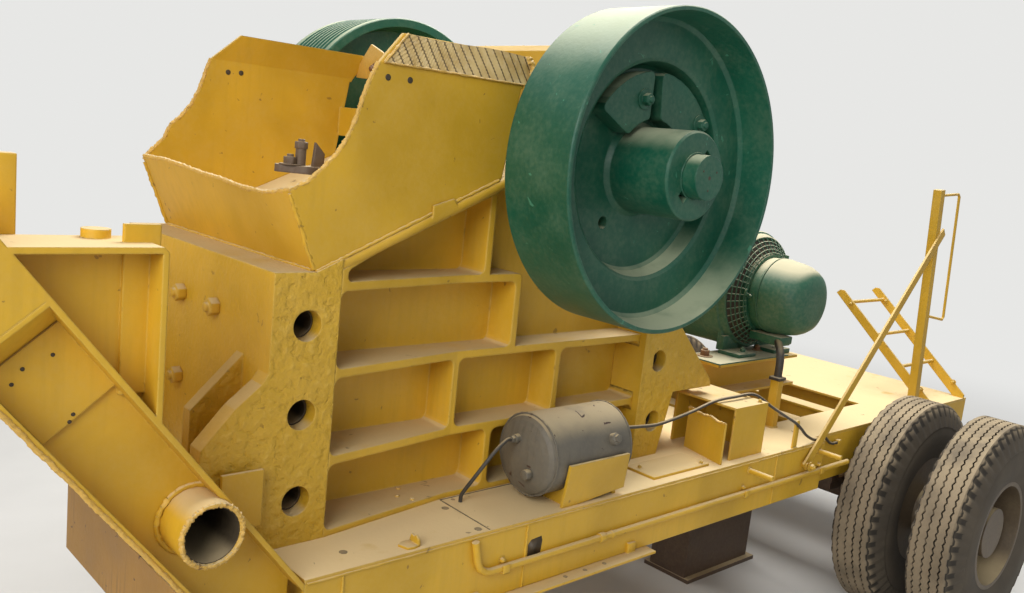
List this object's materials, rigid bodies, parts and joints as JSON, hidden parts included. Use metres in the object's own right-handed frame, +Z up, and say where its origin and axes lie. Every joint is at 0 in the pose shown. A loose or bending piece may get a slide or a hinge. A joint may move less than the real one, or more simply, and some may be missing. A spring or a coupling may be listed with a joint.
{
  "type": "portable jaw crusher",
  "caption": "Jaw crusher with ribbed frame, torn feed hopper and flywheels, mounted with its motor on a gooseneck trailer chassis.",
  "frame": {"origin": "on the ground, below the middle of the machine's bounding box", "axes": "+X along the chassis towards the road wheels, +Z up, -Y the side with the plain flywheel"},
  "size_m": [5.75, 2.55, 2.54],
  "materials": {
    "yellow_paint": "worn golden yellow paint, dusty",
    "green_paint": "worn dark green paint, dusty",
    "dark_steel": "dark paint with rust and dust",
    "jaw_iron": "worn bare casting",
    "tank_grey": "grey paint with rust",
    "rusty_iron": "rust",
    "hose_rubber": "dusty black rubber",
    "wheel_steel": "dirty painted steel",
    "tyre_rubber": "dusty worn tyre"
  },
  "bodies": {
    "frame": {"rail_near": "yellow_paint", "rail_far": "yellow_paint", "crossmembers": "yellow_paint", "deck_front": "yellow_paint", "deck_rear": "yellow_paint", "neck_near": "yellow_paint", "neck_far": "yellow_paint", "cross_tube": "yellow_paint", "neck_head": "yellow_paint", "front_trestle": "dark_steel", "front_casting": "yellow_paint", "side_near": "yellow_paint", "side_far": "yellow_paint", "rear_casting": "yellow_paint", "bearings": "yellow_paint", "top_cover": "yellow_paint", "fixed_jaw": "jaw_iron", "pitman": "jaw_iron", "toggle": "jaw_iron", "hopper_front": "yellow_paint", "hopper_near": "yellow_paint", "hopper_far": "yellow_paint", "hopper_lug": "rusty_iron", "motor": "green_paint", "motor_cover": "green_paint", "motor_base": "yellow_paint", "motor_pulley": "green_paint", "air_tank": "tank_grey", "tank_bracket": "yellow_paint", "cover_box": "yellow_paint", "deck_fittings": "yellow_paint", "ladder": "yellow_paint", "post": "yellow_paint", "side_pipe": "yellow_paint", "hoses": "hose_rubber", "rear_stand": "dark_steel", "axle": "dark_steel"},
    "rotor": {"shaft": "green_paint", "flywheel_near": "green_paint", "flywheel_far": "green_paint", "counterweights": "green_paint"},
    "road_wheels_near": {"wheels_near": "wheel_steel", "tyres_near": "tyre_rubber"},
    "road_wheels_far": {"wheels_far": "wheel_steel", "tyres_far": "tyre_rubber"}
  },
  "joints": [
    {"name": "rotor_spin", "type": "hinge", "parent": "frame", "child": "rotor", "pos_m": [-0.315, 0, 2.04], "axis": [0, 1, 0], "continuous": true},
    {"name": "near_wheels_spin", "type": "hinge", "parent": "frame", "child": "road_wheels_near", "pos_m": [1.917, -0.97, 0.525], "axis": [0, 1, 0], "continuous": true},
    {"name": "far_wheels_spin", "type": "hinge", "parent": "frame", "child": "road_wheels_far", "pos_m": [1.917, 0.97, 0.525], "axis": [0, 1, 0], "continuous": true}
  ]
}
